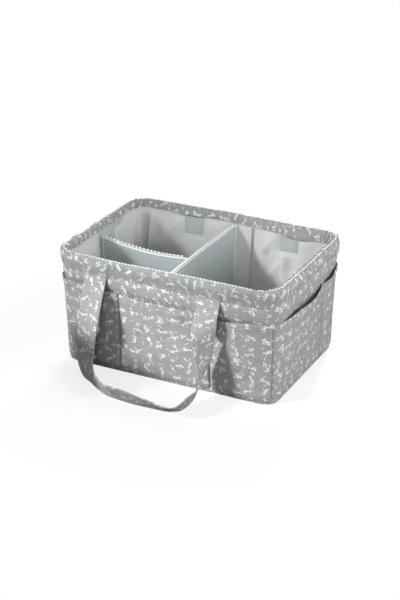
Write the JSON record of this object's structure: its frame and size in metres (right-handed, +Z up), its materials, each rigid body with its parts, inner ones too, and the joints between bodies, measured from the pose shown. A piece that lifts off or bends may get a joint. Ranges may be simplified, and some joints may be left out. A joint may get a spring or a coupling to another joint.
{
  "type": "diaper caddy",
  "caption": "Soft fabric nursery caddy with a gathered elastic rim, outside pockets, hanging webbing handles and padded lift-out dividers.",
  "frame": {"origin": "middle of the underside, on the surface the caddy stands on", "axes": "+Z up, -Y out of the front long wall, +X towards the right end"},
  "size_m": [0.4042, 0.4886, 0.195],
  "materials": {
    "printed_cotton": "matte printed cotton",
    "lining_cloth": "matte plain lining",
    "divider_cloth": "smooth padded cloth",
    "loop_pile": "brushed loop pile",
    "hook_tape": "matte hook tape",
    "foam": "closed-cell foam",
    "board": "matte grey board",
    "elastic": "woven elastic"
  },
  "bodies": {
    "tub": {"outer_base": "printed_cotton", "base_board": "board", "lining_base": "lining_cloth", "outer_front": "printed_cotton", "outer_right": "printed_cotton", "outer_back": "printed_cotton", "outer_left": "printed_cotton", "foam_front": "foam", "foam_right": "foam", "foam_back": "foam", "foam_left": "foam", "lining_front": "lining_cloth", "lining_right": "lining_cloth", "lining_back": "lining_cloth", "lining_left": "lining_cloth", "rim_casing_front": "printed_cotton", "rim_casing_back": "printed_cotton", "rim_casing_left": "printed_cotton", "rim_casing_right": "printed_cotton", "rim_elastic": "elastic", "pocket_front": "printed_cotton", "pocket_right": "printed_cotton", "pocket_back": "printed_cotton", "pocket_left": "printed_cotton", "front_handle_sewn_end_left": "printed_cotton", "front_handle_sewn_end_right": "printed_cotton", "rear_handle_sewn_end_left": "printed_cotton", "rear_handle_sewn_end_right": "printed_cotton", "loop_patch_front_left": "loop_pile", "loop_patch_front_middle": "loop_pile", "loop_patch_front_right": "loop_pile", "loop_patch_back_left": "loop_pile", "loop_patch_back_middle": "loop_pile", "loop_patch_back_right": "loop_pile", "loop_patch_left_wall": "loop_pile"},
    "front_handle": {"front_handle_strap": "printed_cotton"},
    "rear_handle": {"rear_handle_strap": "printed_cotton"},
    "cross_divider": {"cross_divider_cover": "divider_cloth", "cross_divider_core": "foam", "cross_divider_tab_front": "lining_cloth", "cross_divider_tab_back": "lining_cloth", "cross_divider_hook_front": "hook_tape", "cross_divider_hook_back": "hook_tape", "cross_divider_loop_strip": "loop_pile"},
    "long_divider": {"long_divider_cover": "divider_cloth", "long_divider_core": "foam", "long_divider_tab_wall": "divider_cloth", "long_divider_tab_inner": "divider_cloth", "long_divider_hook_wall": "hook_tape", "long_divider_hook_inner": "hook_tape"}
  },
  "joints": [
    {"name": "front_handle_swing", "type": "hinge", "parent": "tub", "child": "front_handle", "pos_m": [0, -0.1403, 0.165], "axis": [-1, 0, 0], "range_deg": [0, 140]},
    {"name": "rear_handle_swing", "type": "hinge", "parent": "tub", "child": "rear_handle", "pos_m": [0, 0.1403, 0.165], "axis": [1, 0, 0], "range_deg": [0, 140]},
    {"name": "cross_divider_lift", "type": "slide", "parent": "tub", "child": "cross_divider", "axis": [0, 0, 1], "range_m": [0, 0.195]},
    {"name": "long_divider_lift", "type": "slide", "parent": "tub", "child": "long_divider", "axis": [0, 0, 1], "range_m": [0, 0.195]}
  ]
}
